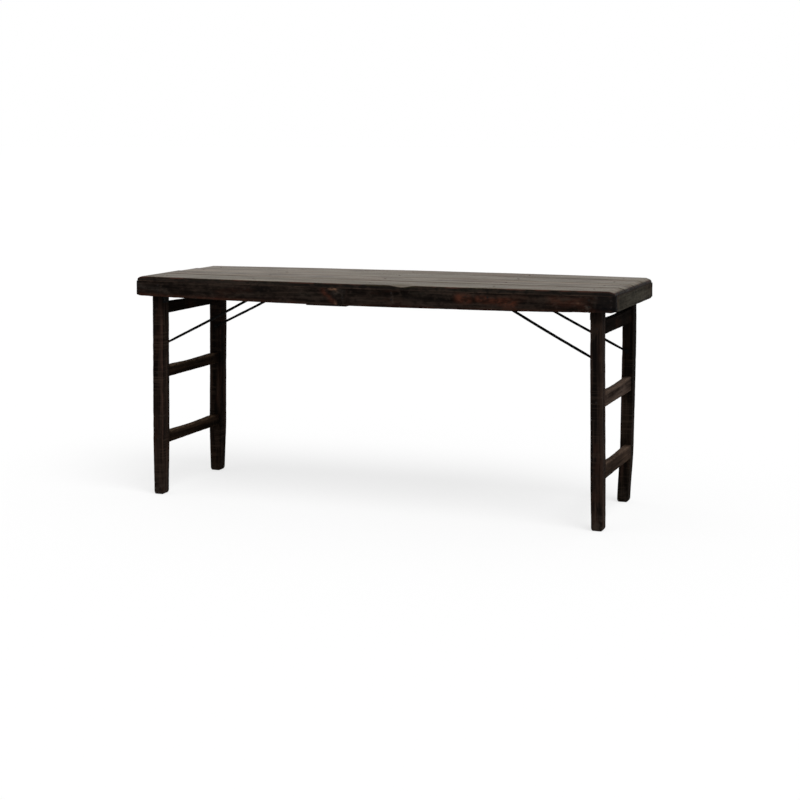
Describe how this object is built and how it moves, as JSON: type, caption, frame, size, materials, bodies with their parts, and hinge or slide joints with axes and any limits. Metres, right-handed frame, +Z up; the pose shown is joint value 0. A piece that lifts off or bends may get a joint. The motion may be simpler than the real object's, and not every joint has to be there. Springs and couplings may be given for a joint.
{
  "type": "folding console table",
  "caption": "Folding console table: a weathered plank top in a dark apron, ladder leg frames that hinge inward under it, and iron rod stays that hook under pegs on the legs.",
  "frame": {"origin": "on the floor under the middle of the top", "axes": "+X along the table to the right, +Y from front to back, +Z up"},
  "size_m": [1.708, 0.56, 0.775],
  "materials": {
    "weathered_top": "grey-brown worn planks with streaks along the grain",
    "dark_rail_wood": "near-black brown stain, rubbed reddish in places",
    "dark_leg_wood": "near-black brown stain, worn paler on the edges",
    "underside_wood": "rough dark wood",
    "black_iron": "black forged iron, dull",
    "nail_iron": "dark forged iron nails"
  },
  "bodies": {
    "top": {"front_board": "weathered_top", "front_middle_board": "weathered_top", "back_middle_board": "weathered_top", "back_board": "weathered_top", "front_rail_left": "dark_rail_wood", "front_rail_right": "dark_rail_wood", "back_rail": "dark_rail_wood", "left_end_rail": "dark_rail_wood", "right_end_rail": "dark_rail_wood", "front_rail_splice": "underside_wood", "left_hinge_rail": "underside_wood", "right_hinge_rail": "underside_wood", "left_stay_batten": "underside_wood", "right_stay_batten": "underside_wood", "centre_batten": "underside_wood", "left_front_hinge_top_leaf": "black_iron", "left_back_hinge_top_leaf": "black_iron", "right_front_hinge_top_leaf": "black_iron", "right_back_hinge_top_leaf": "black_iron", "left_front_hinge_pin": "black_iron", "left_back_hinge_pin": "black_iron", "right_front_hinge_pin": "black_iron", "right_back_hinge_pin": "black_iron", "left_front_stay_staple": "black_iron", "left_back_stay_staple": "black_iron", "right_front_stay_staple": "black_iron", "right_back_stay_staple": "black_iron", "board_nails": "nail_iron", "rail_nails": "nail_iron", "hinge_top_nails": "nail_iron"},
    "left_frame": {"left_front_leg": "dark_leg_wood", "left_back_leg": "dark_leg_wood", "left_upper_rung": "dark_leg_wood", "left_middle_rung": "dark_leg_wood", "left_lower_rung": "dark_leg_wood", "left_front_hinge_leg_leaf": "black_iron", "left_back_hinge_leg_leaf": "black_iron", "left_front_stay_peg": "black_iron", "left_back_stay_peg": "black_iron", "left_rung_nails": "nail_iron", "left_hinge_leg_nails": "nail_iron"},
    "right_frame": {"right_front_leg": "dark_leg_wood", "right_back_leg": "dark_leg_wood", "right_upper_rung": "dark_leg_wood", "right_middle_rung": "dark_leg_wood", "right_lower_rung": "dark_leg_wood", "right_front_hinge_leg_leaf": "black_iron", "right_back_hinge_leg_leaf": "black_iron", "right_front_stay_peg": "black_iron", "right_back_stay_peg": "black_iron", "right_rung_nails": "nail_iron", "right_hinge_leg_nails": "nail_iron"},
    "left_front_stay": {"left_front_stay": "black_iron"},
    "left_back_stay": {"left_back_stay": "black_iron"},
    "right_front_stay": {"right_front_stay": "black_iron"},
    "right_back_stay": {"right_back_stay": "black_iron"}
  },
  "joints": [
    {"name": "left_frame_fold", "type": "hinge", "parent": "top", "child": "left_frame", "pos_m": [-0.7646, 0, 0.7056], "axis": [0, -1, 0], "range_deg": [0, 90]},
    {"name": "right_frame_fold", "type": "hinge", "parent": "top", "child": "right_frame", "pos_m": [0.7646, 0, 0.7056], "axis": [0, 1, 0], "range_deg": [0, 90]},
    {"name": "left_front_stay_swing", "type": "hinge", "parent": "top", "child": "left_front_stay", "pos_m": [-0.427, -0.19625, 0.715], "axis": [0, -1, 0], "range_deg": [0, 152.93]},
    {"name": "left_back_stay_swing", "type": "hinge", "parent": "top", "child": "left_back_stay", "pos_m": [-0.459, 0.19625, 0.715], "axis": [0, -1, 0], "range_deg": [0, 153.29]},
    {"name": "right_front_stay_swing", "type": "hinge", "parent": "top", "child": "right_front_stay", "pos_m": [0.459, -0.19625, 0.715], "axis": [0, 1, 0], "range_deg": [0, 151.64]},
    {"name": "right_back_stay_swing", "type": "hinge", "parent": "top", "child": "right_back_stay", "pos_m": [0.411, 0.19625, 0.715], "axis": [0, 1, 0], "range_deg": [0, 153.31]}
  ],
  "couplings": [
    {"joint": "left_front_stay_swing", "follows": "left_frame_fold", "ratio": 1.6992},
    {"joint": "left_back_stay_swing", "follows": "left_frame_fold", "ratio": 1.7033},
    {"joint": "right_front_stay_swing", "follows": "right_frame_fold", "ratio": 1.6848},
    {"joint": "right_back_stay_swing", "follows": "right_frame_fold", "ratio": 1.7035}
  ]
}
